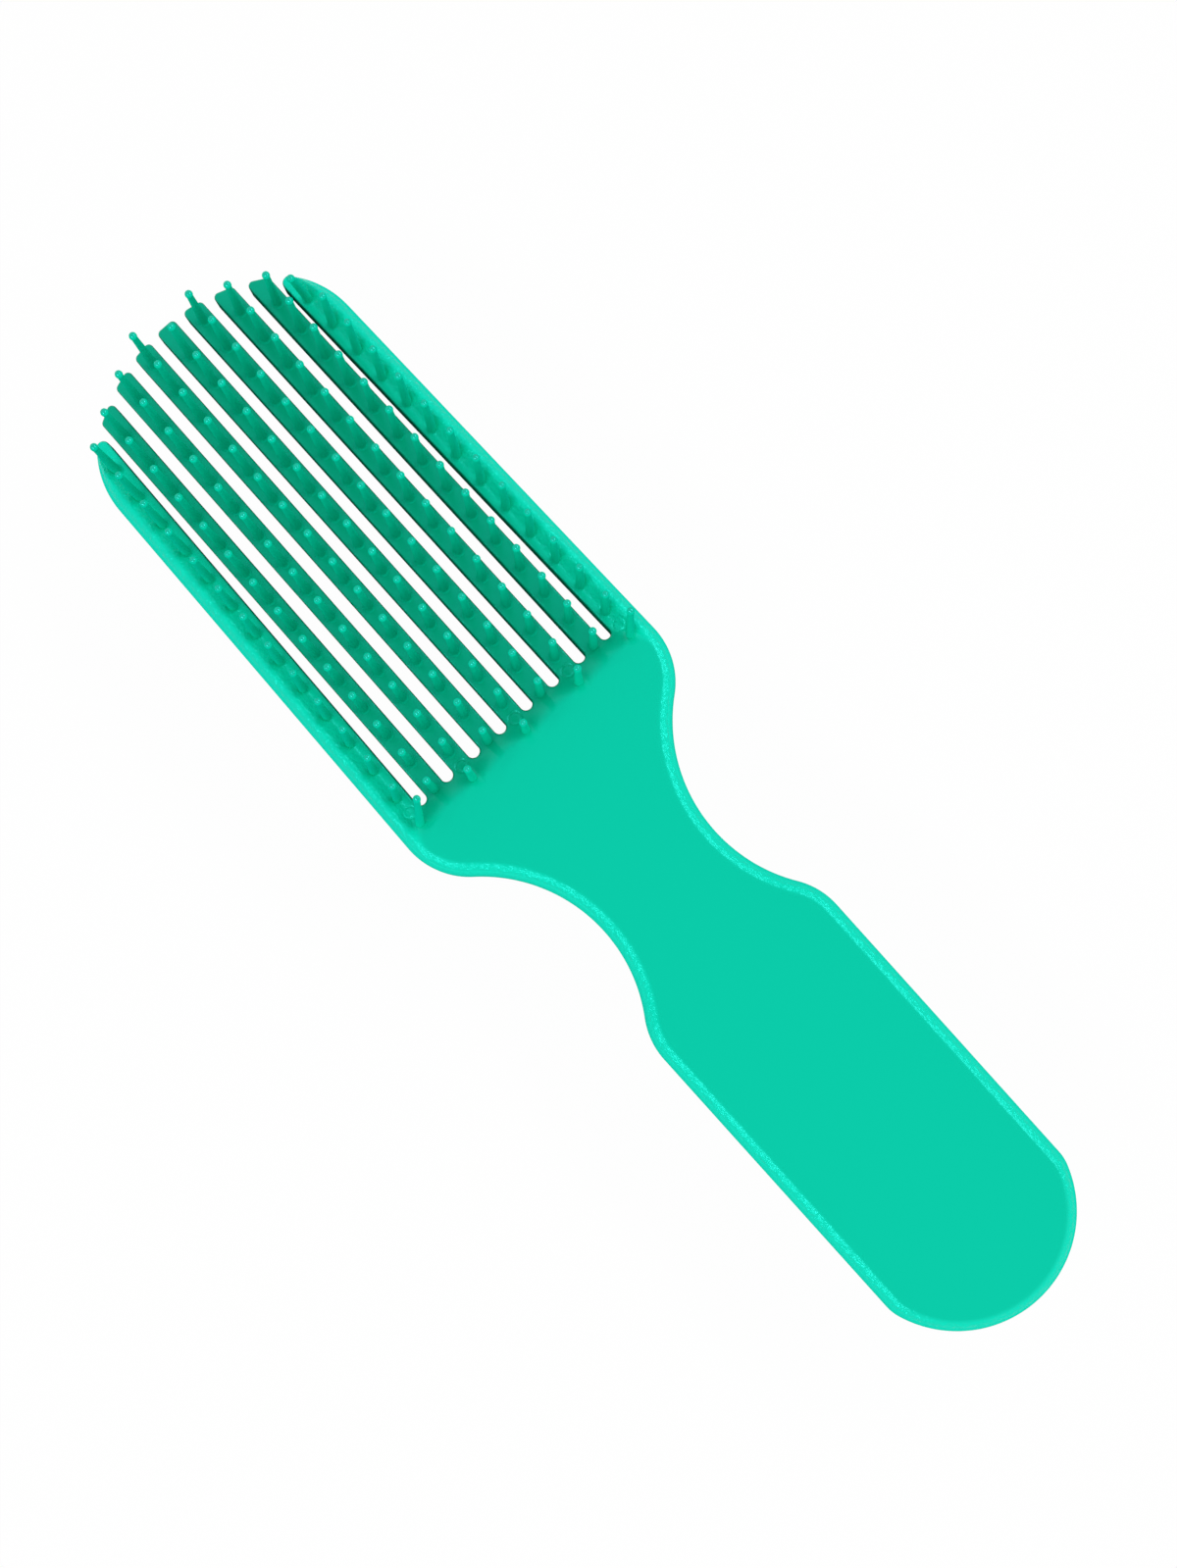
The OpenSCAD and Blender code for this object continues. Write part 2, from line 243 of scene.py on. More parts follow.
crown_c = (TIP_X - CROWN_R, 0)
corner_c = side_point(CROWN_CORNER_R, side_run(CROWN_CORNER_R, crown_c, CROWN_R - CROWN_CORNER_R))
shoulder_x = FLEX_X - PALM_SIDE
shoulder_c = (shoulder_x, head_half(shoulder_x) - SHOULDER_R / math.cos(TAPER))
neck_y = NECK_WIDTH / 2 + NECK_R
neck_c = (shoulder_x - math.sqrt((SHOULDER_R + NECK_R) ** 2 - (neck_y - shoulder_c[1]) ** 2), neck_y)
grip_y = GRIP_WIDTH / 2 - GRIP_SHOULDER_R
grip_c = (neck_c[0] - math.sqrt((GRIP_SHOULDER_R + NECK_R) ** 2 - (neck_y - grip_y) ** 2), grip_y)
butt_c = (BUTT_R - TIP_X, 0)
butt_corner_y = GRIP_WIDTH / 2 - BUTT_CORNER_R
butt_corner_c = (butt_c[0] - math.sqrt((BUTT_R - BUTT_CORNER_R) ** 2 - butt_corner_y ** 2), butt_corner_y)


def turn(a, b):
    """Direction from point a to point b, in radians."""
    return math.atan2(b[1] - a[1], b[0] - a[0])


def arc(centre, r, start, end, step=OUTLINE_STEP):
    """Points along an arc, with both ends."""
    n = max(2, math.ceil(abs(end - start) * r / step))
    angles = [start + (end - start) * i / n for i in range(n + 1)]
    return [(centre[0] + r * math.cos(a), centre[1] + r * math.sin(a)) for a in angles]


def line(a, b, step):
    """Points along a straight line, with both ends."""
    n = max(1, math.ceil(math.dist(a, b) / step))
    return [(a[0] + (b[0] - a[0]) * i / n, a[1] + (b[1] - a[1]) * i / n) for i in range(n + 1)]


def soft_corner(a, b, c, r):
    """The corner b between a and c, rounded by an arc of radius r."""
    to_a, to_c = turn(b, a), turn(b, c)
    half = ((to_a - to_c) % (2 * math.pi)) / 2
    far = r / math.sin(half)
    centre = (b[0] + far * math.cos(to_c + half), b[1] + far * math.sin(to_c + half))
    start, sweep = to_a + math.pi / 2, math.pi - 2 * half
    angles = [start + sweep * i / CORNER_STEPS for i in range(CORNER_STEPS + 1)]
    return [(centre[0] + r * math.cos(a), centre[1] + r * math.sin(a)) for a in angles]


def join(*parts):
    """One list of points without repeats."""
    points = []
    for part in parts:
        for p in part:
            if not points or math.dist(p, points[-1]) > SAME_POINT:
                points.append(p)
    return points


def mirrored(points):
    """The same points on the other side of the comb's axis, in the opposite order."""
    return [(x, -y) for x, y in reversed(points)]


def handle_side():
    """The handle's left side, from the split to the butt's middle."""
    shoulder_turn = turn(shoulder_c, neck_c)
    neck_turn = turn(grip_c, neck_c)
    butt_turn = turn(butt_c, butt_corner_c)
    start = (SPLIT_X, head_half(SPLIT_X))
    shoulder = arc(shoulder_c, SHOULDER_R, math.pi / 2 - TAPER, shoulder_turn)
    neck = arc(neck_c, NECK_R, shoulder_turn + math.pi, neck_turn + math.pi)
    grip = arc(grip_c, GRIP_SHOULDER_R, neck_turn, math.pi / 2)
    corner = arc(butt_corner_c, BUTT_CORNER_R, math.pi / 2, butt_turn)
    butt = arc(butt_c, BUTT_R, butt_turn, math.pi)
    return join(line(start, shoulder[0], OUTLINE_STEP), shoulder, neck, grip,
                line(grip[-1], corner[0], COARSE / 2), corner, butt)


def row_edge(row, way, x):
    """Inner edge of a row towards the right (-1) or the left (+1)."""
    if row in RAILS:
        return rail_inner(x, row) * (1 if row == 1 else -1)
    return row_y(row, x) + way * ARM_WIDTH / 2


def slot_edge(row):
    """Round the slot between a row and the next one, from the right side's split to the left side's."""
    end_r = (row_edge(row, -1, SLOT_END_X) - row_edge(row + 1, 1, SLOT_END_X)) / 2
    start_x = SLOT_END_X + end_r
    left, right = row_edge(row, -1, start_x), row_edge(row + 1, 1, start_x)
    end = arc((start_x, (left + right) / 2), (left - right) / 2, -math.pi / 2, -3 * math.pi / 2, FINE)
    return join([(SPLIT_X, row_edge(row + 1, 1, SPLIT_X))], end, [(SPLIT_X, row_edge(row, -1, SPLIT_X))])


# Surfaces


def lobe_share(x, y):
    """How far the palm's edge draws back, as a share: none on an even row, all of it on an odd one."""
    pitch = ROW_PITCH - (x - FLEX_X) * math.tan(ROW_FAN)
    row = MIDDLE_ROW - y / pitch - LOBE_SHIFT
    even = np.clip(2 * np.round(row / 2), 2, LAST_ROW - 1)
    return np.minimum(1, (row - even) ** 2)


def soft_max(a, b, k):
    """The larger of two values, rounded over k where they are alike."""
    h = np.maximum(k - np.abs(a - b), 0) / k
    return np.maximum(a, b) + h * h * k / 4


def climb(x, y):
    """Share of the way up from the tooth field's floor to the palm and the rims."""
    back = (FLOOR_END_X - x) / (SLOPE_RUN + LOBE_DEPTH * lobe_share(x, y))
    side = 1 - (head_half(x) - np.abs(y) - COVE_START) / COVE_WIDTH
    t = np.clip(soft_max(back, side, BLEND_SHARE), 0, 1)
    return (1 - np.cos(np.pi * t)) / 2


def mark_drop(x, y):
    """Depth of the shallow ring marks."""
    drop = np.zeros_like(x)
    for row in range(1, LAST_ROW + 1, 2):
        cx, cy = mark_place(row)
        off = (np.hypot(x - cx, y - cy) - MARK_R) / (MARK_WIDTH / 2)
        drop += MARK_DEPTH * np.clip(1 - off * off, 0, 1)
    return drop


def mark_place(row):
    """Centre of a row's ring mark."""
    y = row_y(row, MARK_X)
    return MARK_X, y - (math.copysign(MARK_EDGE_SHIFT, y) if row in RAILS else 0)


def mark_seeds():
    """Points in rings around each ring mark."""
    points = []
    for row in range(1, LAST_ROW + 1, 2):
        for share in np.linspace(-1, 1, MARK_RINGS):
            points += arc(mark_place(row), MARK_R + share * MARK_WIDTH / 2, 0, MARK_TURN, FINE)
    return np.array(points)


def surface(x, y, outer, inner):
    """Height of the face at distances from the comb's outline and from the nearest slot."""
    face = FLOOR + (THICK - FLOOR) * climb(x, y) - mark_drop(x, y)
    near = np.clip(np.minimum(outer, inner), 0, SMALL_R)
    small = SMALL_R - np.sqrt(SMALL_R ** 2 - (SMALL_R - near) ** 2)
    d = 1 - np.clip(outer / broad_reach(x), 0, 1)
    drop = BROAD_DROP * (1 - np.sqrt(1 - d * d))
    bevel = BEVEL_SLOPE * (BEVEL_WIDTH - outer) * (1 - head_share(x))
    broad = THICK - soft_max(drop, bevel, BEVEL_BLEND)
    return -soft_max(-broad, small - face, FACE_BLEND)


def smooth(share):
    """A share that eases out of 0 and into 1."""
    share = np.clip(share, 0, 1)
    return share * share * (3 - 2 * share)


def head_share(x):
    """1 on the head, falling to 0 across the palm."""
    return smooth(1 - (SLOT_END_X - x) / PALM_SIDE)


def broad_reach(x):
    """Width of the broad rounding: that of the rims on the head, and more on the palm and the grip."""
    return PALM_BROAD_R + (BROAD_R - PALM_BROAD_R) * head_share(x)


def distance_to(points, chains):
    """Distance of each point from the nearest of several chains of points."""
    best = np.full(len(points), FAR_OFF)
    for chain in chains:
        a, b = np.array(chain[:-1]), np.array(chain[1:])
        ab = b - a
        for start in range(0, len(points), CHUNK):
            part = slice(start, start + CHUNK)
            p = points[part, None, :]
            t = np.clip(((p - a) * ab).sum(2) / (ab * ab).sum(1), 0, 1)
            gap = np.linalg.norm(p - (a + t[..., None] * ab), axis=2).min(1)
            best[part] = np.minimum(best[part], gap)
    return best


def on_face(flat, outer, inner):
    """Points in plan, each with the height of the face there."""
    z = surface(flat[:, 0], flat[:, 1], distance_to(flat, outer), distance_to(flat, inner))
    return np.column_stack([flat, z])


def inside(points, ring):
    """True for each point within a closed ring."""
    found = np.zeros(len(points), bool)
    ring = np.array(ring)
    for (ax, ay), (bx, by) in zip(ring, np.roll(ring, -1, 0)):
        if ay == by:
            continue
        crosses = (ay > points[:, 1]) != (by > points[:, 1])
        found ^= crosses & (points[:, 0] < (bx - ax) * (points[:, 1] - ay) / (by - ay) + ax)
    return found


def grid(x0, x1, y0, y1, step):
    """Points on a square grid."""
    xs, ys = np.meshgrid(np.arange(x0, x1, step), np.arange(y0, y1, step))
    return np.column_stack([xs.ravel(), ys.ravel()])


def triangles(ring, seeds):
    """Points and triangles that fill a ring, with the seeds as further points. The ring comes first."""
    n = len(ring)
    seeds = seeds[inside(seeds, ring)]
    seeds = seeds[distance_to(seeds, [ring + ring[:1]]) > FINE / 2]
    points = np.vstack([ring, seeds])
    edges = [(i, (i + 1) % n) for i in range(n)]
    made = delaunay_2d_cdt([tuple(p) for p in points], edges, [], 1, FILL_EPSILON)
    source = [min(ids) for ids in made[3]]
    faces = []
    for face in made[2]:
        a, b, c = (source[v] for v in face)
        pa, pb, pc = points[a], points[b], points[c]
        area = (pb[0] - pa[0]) * (pc[1] - pa[1]) - (pb[1] - pa[1]) * (pc[0] - pa[0])
        faces.append((a, b, c) if area > 0 else (a, c, b))
    return points, faces


# Mouldings


def joined(chains):
    """The chains as one ring, with each point's share of the broad rounding, the points of each cut by the
    place in the ring where it starts, and the outer and the inner chains."""
    ring, broad, cuts = [], [], {}
    rounded = {"outer": [], "inner": []}
    for kind, points, shares in chains:
        if kind == "cut":
            cuts[len(ring) - 1] = points[1:-1]
            continue
        rounded[kind].append(points)
        shared = 1 if ring and math.dist(points[0], ring[-1]) < SAME_POINT else 0
        ring += points[shared:]
        broad += shares[shared:]
    if math.dist(ring[0], ring[-1]) < SAME_POINT:
        ring.pop()
        broad.pop()
    return ring, broad, cuts, rounded["outer"], rounded["inner"]


def ways_inward(ring, cuts):
    """The way in which the rounded edge draws in at each point of a ring: at a cut's ends, along the cut."""
    n = len(ring)
    ways = np.zeros((n, 2))
    for i in range(n):
        before = ring[i] if (i - 1) % n in cuts else ring[i - 1]
        after = ring[i] if i in cuts else ring[(i + 1) % n]
        way = turn(before, after) + math.pi / 2
        ways[i] = (math.cos(way), math.sin(way))
        if before == ring[i] or after == ring[i]:
            ways[i] = (0, 1 / ways[i][1])
    return ways


def edge_rings(ring, broad, inward, outer, inner):
    """Rings of points round the edges, from the flat of the back up to the face."""
    top_r = SMALL_R + (broad_reach(ring[:, :1]) - SMALL_R) * broad
    back_r = SMALL_R + (BACK_R - SMALL_R) * broad
    rings = []
    for a in np.linspace(0, math.pi / 2, BACK_STEPS + 1):
        flat = ring + inward * back_r * (1 - math.sin(a))
        rings.append(np.column_stack([flat, back_r * (1 - math.cos(a))]))
    insets = [top_r * (1 - math.cos(a)) for a in np.linspace(0, math.pi / 2, EDGE_STEPS + 1)]
    rings += [on_face(ring + inward * inset, outer, inner) for inset in insets + [top_r + LAND]]
    return rings


def moulding(name, chains, seeds):
    """A plate with a closed outline, rounded edges and a shaped face.

    chains go round it counterclockwise. Each is (kind, points, broad), with kind outer, inner or cut:
    outer and inner edges are rounded, and a cut is left flat. A cut's points between its ends lie on
    the face alone. broad tells for each point how much of the broad rounding it has, from 0 to 1."""
    ring, broad, cuts, outer, inner = joined(chains)
    n = len(ring)
    rings = edge_rings(np.array(ring), np.array(broad)[:, None], ways_inward(ring, cuts), outer, inner)
    levels = len(rings)
    points = list(np.vstack(rings))
    faces, skins = [], []
    for i in range(n):
        if i in cuts:
            continue
        j = (i + 1) % n
        faces += [(k * n + i, k * n + j, (k + 1) * n + j, (k + 1) * n + i) for k in range(levels - 1)]
        skin, steps = (RIM_SKIN, RIM_STEPS) if broad[i] else (WALL_SKIN, WALL_STEPS)
        skins += [skin if 0 <= k - BACK_STEPS <= steps else FACE_SKIN for k in range(levels - 1)]

    face_ring, face_ids = [], []
    for i in range(n):
        face_ring.append(tuple(rings[-1][i, :2]))
        face_ids.append((levels - 1) * n + i)
        if i in cuts:
            profile = on_face(np.array(cuts[i]).reshape(-1, 2), outer, inner)
            ids = list(range(len(points), len(points) + len(profile)))
            points += list(profile)
            face_ring += [tuple(q) for q in profile[:, :2]]
            face_ids += ids
            up = [k * n + (i + 1) % n for k in range(levels)]
            down = [k * n + i for k in reversed(range(levels))]
            faces.append(tuple(up + ids[::-1] + down))
            skins.append(FACE_SKIN)

    filled, tops = triangles(face_ring, seeds)
    extra = on_face(filled[len(face_ring):], outer, inner)
    ids = face_ids + list(range(len(points), len(points) + len(extra)))
    points += list(extra)
    faces += [tuple(ids[v] for v in f) for f in tops]
    faces += [f[::-1] for f in triangles([tuple(p) for p in rings[0][:, :2]], NO_SEEDS)[1]]
    piece = new_piece(name, points, faces, skins + [FACE_SKIN] * (len(faces) - len(skins)))
    plan = np.array(points)[:, :2]
    x, y = plan.T
    # Painted shade: darker deep in the tooth field, with less of it on the rails
    store(piece, "field_shade_share", (1 - climb(x, y)) ** FIELD_SHADE_POWER * rail_shade(x, y))
    if outer:
        # Painted light: lighter along the thin outer edges and the rails' coves; the same share sets the
        # grain there
        store(piece, "edge_light_and_grain_share", edge_light_and_grain_share(x, distance_to(plan, outer)))
    return piece


def rail_shade(x, y):
    """The tooth field's painted shade as a share: all of it on the arms, and less on the rails."""
    rail = np.clip((np.abs(y) - rail_inner(x, 1) + RAIL_SLOT / 2) / RAIL_SLOT, 0, 1)
    return 1 - (1 - RAIL_SHADE_SHARE) * rail


def edge_light_and_grain_share(x, outer):
    """How far a place near the comb's outline takes the painted light of its thin edges, a lighter colour;
    the same share sets their grain.
    """
    start = EDGE_LIGHT_START + (RAIL_LIGHT_START - EDGE_LIGHT_START) * head_share(x)
    end = EDGE_LIGHT_END + (RAIL_LIGHT_END - EDGE_LIGHT_END) * head_share(x)
    return smooth((end - outer) / (end - start))


def store(piece, name, values):
    """Keeps one value for each point of a mesh, for its material."""
    attribute = piece.data.attributes.new(name, "FLOAT", "POINT")
    attribute.data.foreach_set("value", np.asarray(values, np.float32))


def new_piece(name, points, faces, skins):
    """A smooth mesh object from points in millimetres. skins gives each face's place among materials."""
    mesh = bpy.data.meshes.new(name)
    places = [tuple(float(c) * MM for c in p) for p in points]
    mesh.from_pydata(places, [], [tuple(map(int, f)) for f in faces])
    mesh.polygons.foreach_set("use_smooth", [True] * len(mesh.polygons))
    mesh.polygons.foreach_set("material_index", skins)
    mesh.set_sharp_from_angle(angle=SHARP_ANGLE)
    piece = bpy.data.objects.new(name, mesh)
    bpy.context.scene.collection.objects.link(piece)
    return piece


def rim_profile(way):
    """Points on the split across a rail, from its outer side to its slot."""
    return [(SPLIT_X, way * (head_half(SPLIT_X) - float(inset))) for inset in COVE_INSETS]


def handle_skin():
    """Grip, neck and palm in one plate, with the slots' ends and the slope up from the tooth field."""
    side = handle_side()
    outline = join(side, mirrored(side))
    chains = [("outer", outline, [1] * len(outline))]
    profiles = {1: rim_profile(1)[::-1], LAST_ROW: rim_profile(-1)}
    for row in range(LAST_ROW, 0, -1):
        right = -head_half(SPLIT_X) if row == LAST_ROW else row_edge(row, -1, SPLIT_X)
        left = head_half(SPLIT_X) if row == 1 else row_edge(row, 1, SPLIT_X)
        chains.append(("cut", [(SPLIT_X, right)] + profiles.get(row, []) + [(SPLIT_X, left)], None))
        if row > 1:
            edge = slot_edge(row - 1)
            chains.append(("inner", edge, [0] * len(edge)))
    start, end = SLOPE_TOP_X - 3 * FINE, SPLIT_X - FINE / 2
    slope = grid(start, end, -HEAD_WIDTH / 2, HEAD_WIDTH / 2, FINE)
    slope = slope[np.abs(slope[:, 1]) < head_half(slope[:, 0]) - (COVE_START + COVE_WIDTH + FINE)]
    coves = cove_seeds(start, end)
    wide = grid(-TIP_X, SLOPE_TOP_X - COARSE, -HEAD_WIDTH / 2, HEAD_WIDTH / 2, COARSE)
    piece = moulding("handle_skin", chains, np.vstack([slope, coves, coves * (1, -1), mark_seeds(), wide]))
    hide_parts("handle")
    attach(piece, "handle")
    return piece


def cove_seeds(x0, x1):
    """Points in lines along the left rim's cove."""
    xs = np.arange(x0, x1, 2 * FINE)
    return np.array([(x, head_half(x) - inset) for inset in COVE_INSETS for x in xs])


def rail_skin(row):
    """A side rail with its raised rim, from the split to its tip."""
    way = 1 if row == 1 else -1
    run = side_run(rail_width(row), corner_c, CROWN_CORNER_R)
    tip = side_point(rail_width(row), run)
    tip_turn = turn(corner_c, tip)
    inner_start = (SPLIT_X, rail_inner(SPLIT_X, row))
    tangent = (tip[0] - math.sin(tip_turn), tip[1] + math.cos(tip_turn))
    corner = soft_corner(inner_start, tip, tangent, RAIL_TIP_R)
    bend_turn = turn(corner_c, corner[-1])
    bend = arc(corner_c, CROWN_CORNER_R, bend_turn, math.pi / 2 - TAPER, OUTLINE_STEP / 2)
    middle = CORNER_STEPS // 2
    inner = join(line(inner_start, corner[0], ARM_STEP), corner[:middle + 1])
    outer = join(corner[middle:-1], bend, line(bend[-1], (SPLIT_X, head_half(SPLIT_X)), ARM_STEP))
    broad = [float(np.clip((corner[0][0] - x) / TIP_FADE, 0, 1)) for x, _ in outer]
    cut = [(SPLIT_X, head_half(SPLIT_X))] + rim_profile(1) + [inner_start]
    chains = [("inner", inner, [0] * len(inner)), ("outer", outer, broad), ("cut", cut, None)]
    near_tip = grid(corner_c[0], TIP_X, 0, HEAD_WIDTH / 2, FINE)
    seeds = np.vstack([cove_seeds(SPLIT_X + FINE, corner_c[0]), near_tip])
    if way < 0:
        chains = [(kind, mirrored(points), broad and broad[::-1]) for kind, points, broad in chains]
        chains = [chains[0], chains[2], chains[1]]
        seeds = seeds * (1, -1)
    piece = moulding(RAILS[row] + "_skin", chains, seeds)
    return finish_arm(piece, RAILS[row])


def arm_skin(row):
    """An inner arm with rounded edges, from the split to its tip on the crown."""
    tip_y = row_y(row, TIP_X)

    def crown_x(y):
        return crown_c[0] + math.sqrt(CROWN_R ** 2 - y * y)

    right_tip = (crown_x(tip_y - ARM_WIDTH / 2), tip_y - ARM_WIDTH / 2)
    left_tip = (crown_x(tip_y + ARM_WIDTH / 2), tip_y + ARM_WIDTH / 2)
    right_root = (SPLIT_X, row_y(row, SPLIT_X) - ARM_WIDTH / 2)
    left_root = (SPLIT_X, row_y(row, SPLIT_X) + ARM_WIDTH / 2)
    right_corner = soft_corner(right_root, right_tip, left_tip, ARM_TIP_R)
    left_corner = soft_corner(right_tip, left_tip, left_root, ARM_TIP_R)
    edge = join(line(right_root, right_corner[0], ARM_STEP), right_corner, left_corner,
                line(left_corner[-1], left_root, ARM_STEP))
    chains = [("inner", edge, [0] * len(edge)), ("cut", [left_root, right_root], None)]
    piece = moulding(f"arm_{row}_skin", chains, NO_SEEDS)
    return finish_arm(piece, f"arm_{row}")


def finish_arm(piece, body):
    """The piece stands for its body's arm, whose own part is hidden, with its placement baked into its
    points.
    """
    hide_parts(body)
    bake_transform(piece)
    return piece


# Pins


def first_pin_x(row):
    """Place of a row's first pin. Odd rows start half a pitch before the even ones."""
    if row % 2:
        return FLEX_X + PIN_FOOT_D / 2 + PIN_LAND - PIN_PITCH
    return SPLIT_X - PIN_FOOT_D / 2 - PIN_LAND


def row_end_x(row):
    """Place of the tip of a row's arm."""
    if row in RAILS:
        return side_point(RAIL_WIDTH, side_run(RAIL_WIDTH, corner_c, CROWN_CORNER_R))[0] - RAIL_TIP_R
    return crown_c[0] + math.sqrt(CROWN_R ** 2 - row_y(row, TIP_X) ** 2)


def pin_places(row):
    """Places of a row's pins along the comb."""
    first = first_pin_x(row)
    count = math.floor((row_end_x(row) - PIN_TIP_MARGIN - first) / PIN_PITCH) + 1
    return [first + i * PIN_PITCH for i in range(count)]


def pin_y(row, x):
    """Distance of a pin from the comb's axis."""
    if row in RAILS:
        y = head_half(x) - RAIL_PIN_INSET
        return y if row == 1 else -y
    return row_y(row, x)


def pin_profile():
    """Radius and height up a pin: a flared foot, a tapered shaft and a ball."""
    ball_z = PIN_HEIGHT - PIN_BALL_D / 2
    foot = PIN_FOOT_D / 2
    profile = [(foot + PIN_FLARE, -PIN_ROOT)]
    for i in range(FOOT_STEPS + 1):
        a = math.pi / 2 * i / FOOT_STEPS
        profile.append((foot + PIN_FLARE * (1 - math.sin(a)), PIN_FLARE * (1 - math.cos(a))))
    neck_z = ball_z - PIN_BALL_D / 2
    for share in SHAFT_SHARES:
        profile.append((foot + (PIN_NECK_D / 2 - foot) * share, PIN_FLARE + (neck_z - PIN_FLARE) * share))
    start = math.asin(min(1, PIN_NECK_D / PIN_BALL_D)) - math.pi / 2
    for i in range(BALL_STEPS):
        a = start + (math.pi / 2 - start) * i / BALL_STEPS
        profile.append((PIN_BALL_D / 2 * math.cos(a), ball_z + PIN_BALL_D / 2 * math.sin(a)))
    return profile


def pin_light(x, y, profile):
    """Painted light and shade on a pin, for each of its points: lighter towards its tip, and lighter on a
    light ground.
    """
    ground = 0
    if x < SLOT_END_X:
        ground = GROUND_LIGHT
    elif abs(y) > rail_inner(x, 1):
        ground = RAIL_GROUND_LIGHT
    shares = [SHAFT_LIGHT * math.sqrt(max(0, z) / PIN_HEIGHT) for _, z in profile[:-BALL_STEPS]]
    shares += [1] * BALL_STEPS
    return list(ground + (1 - ground) * np.append(np.repeat(shares, PIN_SIDES), 1))


def pins(name, places):
    """Pins standing on the floor at (x, y), each tip shifted by (dx, dy)."""
    profile = pin_profile()
    rings = len(profile)
    turns = [2 * math.pi * i / PIN_SIDES for i in range(PIN_SIDES)]
    sides = [(i, (i + 1) % PIN_SIDES) for i in range(PIN_SIDES)]
    points, faces, skins, light = [], [], [], []
    for x, y, dx, dy in places:
        base = len(points)
        light += pin_light(x, y, profile)
        for r, z in profile:
            share = max(0, z) / PIN_HEIGHT
            cx, cy = x + dx * share, y + dy * share
            points += [(cx + r * math.cos(a), cy + r * math.sin(a), FLOOR + z) for a in turns]
        for k in range(rings - 1):
            a, b = base + k * PIN_SIDES, base + (k + 1) * PIN_SIDES
            faces += [(a + i, a + j, b + j, b + i) for i, j in sides]
            skins += [CAP_SKIN if k >= rings - CAP_STEPS else SHAFT_SKIN] * PIN_SIDES
        faces.append(tuple(base + i for i in reversed(range(PIN_SIDES))))
        points.append((x + dx, y + dy, FLOOR + PIN_HEIGHT))
        last, top = base + (rings - 1) * PIN_SIDES, len(points) - 1
        faces += [(last + i, last + j, top) for i, j in sides]
        skins += [SHAFT_SKIN] + [CAP_SKIN] * PIN_SIDES
    piece = new_piece(name, points, faces, skins)
    # Painted light and shade on the pins' shafts
    store(piece, "light_share", light)
    return piece


def pin_lean(row, x):
    """How far a pin's tip stands off its foot along and across the comb, as in the photograph."""
    places = pin_places(row)
    if x == places[0] and row in ROOT_LEANS:
        return ROOT_LEANS[row]
    if row == 1:
        return 0, -LEFT_LEAN - (LEFT_LEAN_AT_PALM - LEFT_LEAN) * (places[-1] - x) / (places[-1] - places[1])
    end = -END_LEAN * END_LEAN_SHARE ** ((places[-1] - x) / PIN_PITCH) if row > MIDDLE_ROW else 0
    if row == LAST_ROW and x == places[-1]:
        return end, RIGHT_END_LEAN
    return end, -ARM_LEAN


def pin_stand(row, x):
    """Place of a pin's foot and the shift of its tip."""
    return x, pin_y(row, x), *pin_lean(row, x)


def row_pins(row):
    """The pins on one arm."""
    body = RAILS.get(row, f"arm_{row}")
    places = [pin_stand(row, x) for x in pin_places(row)[1:]]
    piece = pins(f"{body}_pins_skin", places)
    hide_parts(f"{body}_pins")
    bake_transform(piece)
    return piece


def root_pins():
    """The first pin of each row, on the palm or its slope."""
    places = [pin_stand(row, pin_places(row)[0]) for row in range(1, LAST_ROW + 1)]
    piece = pins("root_pins_skin", places)
    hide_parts("root_pins")
    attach(piece, "handle")
    return piece


# Materials

PALM_GREEN = (0.0004, 0.585, 0.37)
# Painted light: a lighter colour along the thin outer edges and the rails' coves
EDGE_LIT_GREEN = (0.001, 0.765, 0.515)
# Painted shade: a darker colour deep in the tooth field, among the slots and pins
FIELD_SHADE_GREEN = (0.0004, 0.4, 0.225)
# Painted shade: a darker colour on the slots' walls
WALL_SHADE_GREEN = (0.0006, 0.22, 0.125)
# Painted light: a lighter colour on the matt outer rims
RIM_LIT_GREEN = (0.01, 0.87, 0.61)
# Painted shade at the pins' feet and painted light towards their tips
SHAFT_SHADED_GREEN = (0.0006, 0.45, 0.27)
SHAFT_LIT_GREEN = (0.001, 0.72, 0.47)
CAP_GREEN = (0.0004, 0.43, 0.235)
HIGHLIGHT_TINT = (0.06, 1, 1)
FACE_ROUGHNESS = 0.2
FACE_SPECULAR = 0.7
RIM_ROUGHNESS = 0.8
WALL_ROUGHNESS = 0.8
SHAFT_ROUGHNESS = 0.6
CAP_ROUGHNESS = 0.12
CAP_SPECULAR = 1
CAP_IOR = 1.8
GRAIN_SIZE = 0.8
GRAIN_DEPTH = 0.22
GRAIN_DETAIL = 2


def plastic(name, roughness, specular):
    """A new satin plastic, whose highlights take its own colour."""
    material = bpy.data.materials.new(name)
    material.use_nodes = True
    shader = material.node_tree.nodes["Principled BSDF"]
    shader.inputs["Roughness"].default_value = roughness
    shader.inputs["Specular IOR Level"].default_value = specular
    shader.inputs["Specular Tint"].default_value = (*HIGHLIGHT_TINT, 1)
    return material, shader


def blend_colour(material, attribute, first, second):
    """Goes from one colour to another with a value stored on the mesh."""
    nodes, links = material.node_tree.nodes, material.node_tree.links
    mix = nodes.new("ShaderNodeMix")
    mix.data_type = "RGBA"
    for socket, colour in (("A", first), ("B", second)):
        if isinstance(colour, tuple):
            mix.inputs[socket].default_value = (*colour, 1)
        else:
            links.new(colour, mix.inputs[socket])
    value = nodes.new("ShaderNodeAttribute")
    value.attribute_name = attribute
    links.new(value.outputs["Fac"], mix.inputs["Factor"])
    return mix.outputs["Result"]


